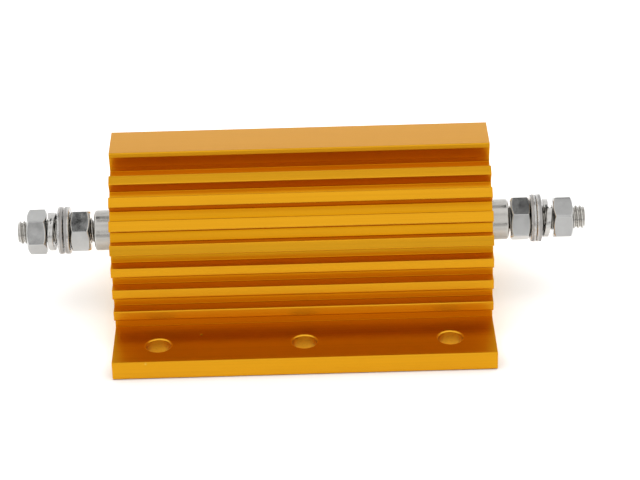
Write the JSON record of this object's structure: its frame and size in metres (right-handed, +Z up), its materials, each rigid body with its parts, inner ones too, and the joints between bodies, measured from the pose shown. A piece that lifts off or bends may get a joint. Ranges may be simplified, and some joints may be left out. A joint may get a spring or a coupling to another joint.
{
  "type": "aluminium housed power resistor",
  "caption": "Flange mounted power resistor: gold anodised finned aluminium housing with a flat ridge on top, a wound ceramic element potted in its bore and a threaded stud terminal at each end.",
  "frame": {"origin": "centre of the housing's flat underside", "axes": "+X along the housing, from one stud terminal to the other; +Y across the flanges; +Z up, out of the mounting face towards the ridge"},
  "size_m": [0.1424, 0.0742, 0.0458],
  "materials": {
    "gold_anodised": "extruded, satin gold anodised",
    "plated_stud": "turned, nickel plated",
    "plated_nut": "bright nickel plated",
    "plated_washer": "nickel plated, tumbled",
    "steatite": "unglazed",
    "resistance_alloy": "oxidised wire",
    "cap_steel": "pressed sheet",
    "filler": "cast silicone filler",
    "end_disc": "unglazed"
  },
  "bodies": {
    "root": {"housing": "gold_anodised", "ceramic_core": "steatite", "resistance_winding": "resistance_alloy", "core_cap_left": "cap_steel", "core_cap_right": "cap_steel", "potting_compound": "filler", "end_disc_left": "end_disc", "end_disc_right": "end_disc", "terminal_stud_left": "plated_stud", "terminal_stud_right": "plated_stud", "inner_nut_left": "plated_nut", "inner_nut_right": "plated_nut", "inner_washer_left": "plated_washer", "inner_washer_right": "plated_washer", "outer_washer_left": "plated_washer", "outer_washer_right": "plated_washer", "lock_washer_left": "plated_washer", "lock_washer_right": "plated_washer", "outer_nut_left": "plated_nut", "outer_nut_right": "plated_nut"}
  },
  "joints": []
}
